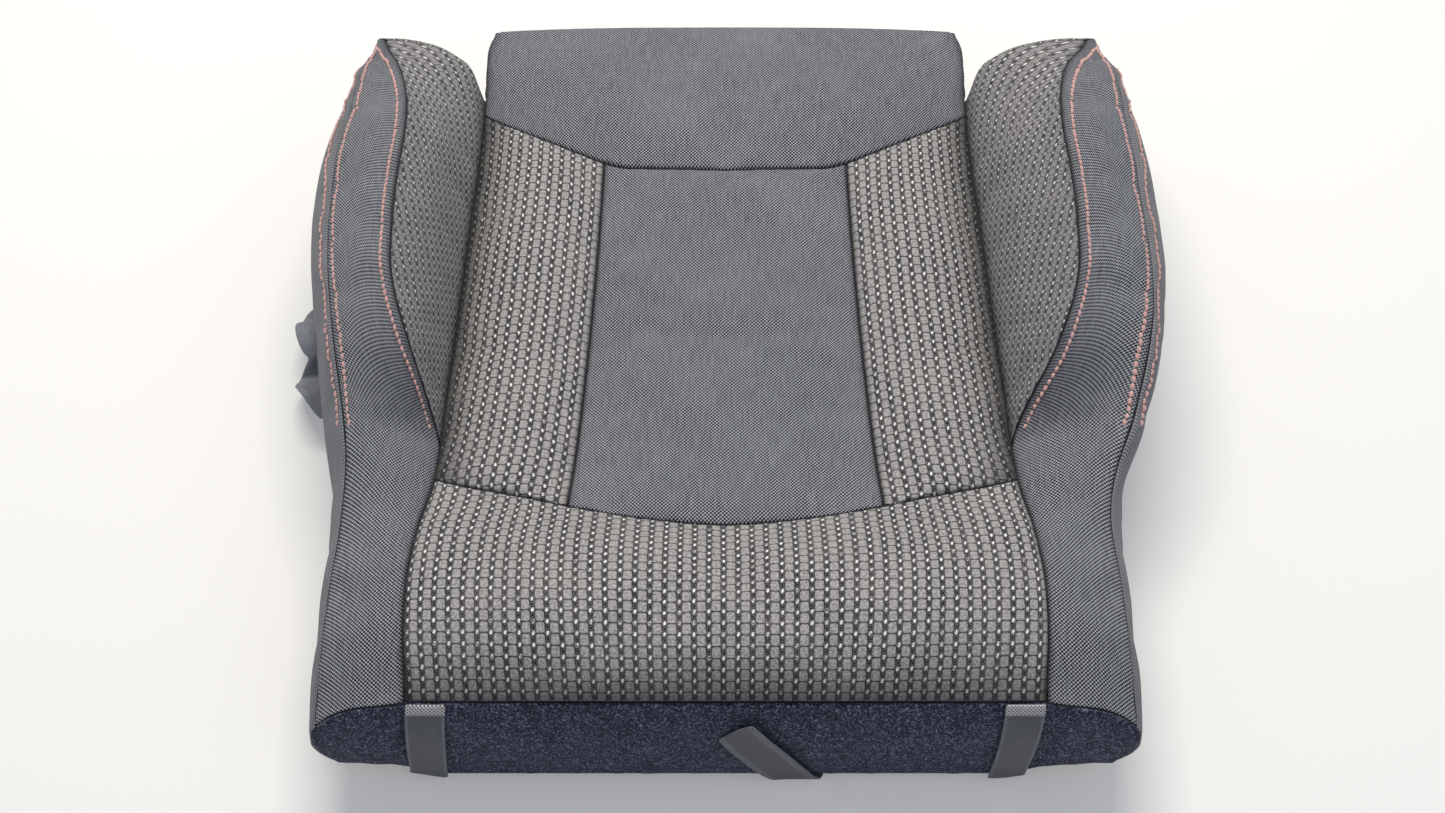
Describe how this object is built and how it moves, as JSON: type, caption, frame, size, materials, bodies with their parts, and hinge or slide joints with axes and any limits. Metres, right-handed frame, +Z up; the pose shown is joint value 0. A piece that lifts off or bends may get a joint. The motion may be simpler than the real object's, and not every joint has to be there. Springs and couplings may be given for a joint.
{
  "type": "car seat cushion",
  "caption": "Lower cushion of a sport-style front car seat: moulded foam with raised side bolsters under a sewn cloth cover, with a fleece front band, webbing straps and hook strips.",
  "frame": {"origin": "on the centreline under the felt, half way between the front band and the end of the rear tongue", "axes": "+Z up, +Y to the rear of the seat, +X to the right when looking rearwards"},
  "size_m": [0.5845, 0.5729, 0.1585],
  "materials": {
    "foam": "open moulded foam skin",
    "felt": "needled felt",
    "plain_cloth": "fine woven seat cloth",
    "patterned_cloth": "figured woven seat cloth",
    "side_cloth": "plain woven side cloth",
    "fleece": "brushed fleece",
    "webbing": "woven polyester webbing",
    "hook_plastic": "extruded polypropylene",
    "steel_wire": "drawn wire"
  },
  "bodies": {
    "root": {"foam_core": "foam", "left_bolster_foam": "foam", "right_bolster_foam": "foam", "underside_felt": "felt", "centre_panel": "plain_cloth", "left_insert_panel": "patterned_cloth", "right_insert_panel": "patterned_cloth", "front_panel": "patterned_cloth", "rear_panel": "plain_cloth", "rear_skirt": "plain_cloth", "left_bolster_inner_panel": "patterned_cloth", "right_bolster_inner_panel": "patterned_cloth", "left_bolster_outer_panel": "plain_cloth", "right_bolster_outer_panel": "plain_cloth", "left_bolster_end_panel": "patterned_cloth", "right_bolster_end_panel": "patterned_cloth", "left_side_panel": "side_cloth", "right_side_panel": "side_cloth", "front_fleece_band": "fleece", "left_front_strap": "webbing", "right_front_strap": "webbing", "centre_strap": "webbing", "left_side_flap": "felt", "front_hook_strip": "hook_plastic", "rear_hook_strip": "hook_plastic", "left_hook_strip": "hook_plastic", "right_hook_strip": "hook_plastic", "front_listing_sleeve": "plain_cloth", "rear_listing_sleeve": "plain_cloth", "left_listing_sleeve": "plain_cloth", "right_listing_sleeve": "plain_cloth", "front_listing_wire": "steel_wire", "rear_listing_wire": "steel_wire", "left_listing_wire": "steel_wire", "right_listing_wire": "steel_wire", "front_tie_wire": "steel_wire", "rear_tie_wire": "steel_wire", "left_tie_wire": "steel_wire", "right_tie_wire": "steel_wire", "hog_rings": "steel_wire"}
  },
  "joints": []
}
